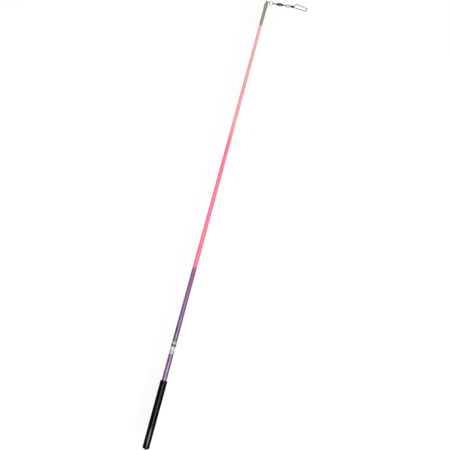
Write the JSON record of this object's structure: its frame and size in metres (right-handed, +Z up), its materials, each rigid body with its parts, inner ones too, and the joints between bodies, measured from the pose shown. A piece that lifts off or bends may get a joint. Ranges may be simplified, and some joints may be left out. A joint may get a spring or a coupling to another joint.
{
  "type": "rhythmic ribbon wand",
  "caption": "Tapered three-colour wand with a black rubber grip and, at its tip, a turning eye, link, ring, barrel swivel and wire snap for a ribbon.",
  "frame": {"origin": "on the rod's axis, in the middle of the straight part of the grip", "axes": "+Y along the rod to the tip, +X to the side on which the chain lies, +Z up from the surface the wand lies on"},
  "size_m": [0.0576, 0.6063, 0.0094],
  "materials": {
    "rod_lacquer": "satin lacquer over fibreglass: metallic purple, then hot pink, then salmon pink",
    "grip_rubber": "smooth, slightly glossy",
    "label_film": "printed film with plain colour bands",
    "ferrule_nickel": "satin nickel plate over brass",
    "dark_steel": "blackened",
    "wire_steel": "bright drawn wire",
    "barrel_brass": "polished, slightly tarnished",
    "snap_steel": "drawn spring wire",
    "clasp_bronze": "dark bronzed sheet"
  },
  "bodies": {
    "stick": {"rod": "rod_lacquer", "grip_sleeve": "grip_rubber", "label_band": "label_film", "ferrule_tube": "ferrule_nickel", "ferrule_head": "ferrule_nickel"},
    "eye": {"tip_eye": "dark_steel", "eye_washer": "wire_steel"},
    "link": {"tip_link": "wire_steel"},
    "ring": {"chain_ring": "wire_steel"},
    "near_eye": {"swivel_eye_near": "wire_steel"},
    "barrel": {"swivel_barrel": "barrel_brass"},
    "far_eye": {"swivel_eye_far": "wire_steel"},
    "snap": {"snap_frame": "snap_steel", "snap_clasp": "clasp_bronze"},
    "gate": {"snap_gate": "snap_steel"}
  },
  "joints": [
    {"name": "eye_spin", "type": "hinge", "parent": "stick", "child": "eye", "pos_m": [0, 0.5524, 0], "axis": [0, 1, 0], "continuous": true},
    {"name": "link_swing", "type": "hinge", "parent": "eye", "child": "link", "pos_m": [0, 0.5524, 0], "axis": [0, 0, 1], "range_deg": [-10, 190]},
    {"name": "ring_tilt", "type": "hinge", "parent": "link", "child": "ring", "pos_m": [0.00337, 0.55258, -0.0025], "axis": [-0.0523, 0.9986, 0], "range_deg": [-90, 90]},
    {"name": "swivel_swing", "type": "hinge", "parent": "ring", "child": "near_eye", "pos_m": [0.00579, 0.5527, -0.0025], "axis": [0, 0, -1], "range_deg": [-90, 90]},
    {"name": "barrel_spin", "type": "hinge", "parent": "near_eye", "child": "barrel", "pos_m": [0.00822, 0.55287, -0.0025], "axis": [0.9932, 0.1167, 0], "continuous": true},
    {"name": "far_eye_spin", "type": "hinge", "parent": "barrel", "child": "far_eye", "pos_m": [0.02778, 0.55517, -0.0025], "axis": [0.9932, 0.1167, 0], "continuous": true},
    {"name": "snap_tilt", "type": "hinge", "parent": "far_eye", "child": "snap", "pos_m": [0.02968, 0.55517, -0.0025], "axis": [0, 1, 0], "range_deg": [-80, 80]},
    {"name": "gate_flex", "type": "hinge", "parent": "snap", "child": "gate", "pos_m": [0.05085, 0.55816, -0.0025], "axis": [0, 0, -1], "range_deg": [0, 25], "stiffness_Nm_per_rad": 0.1}
  ]
}
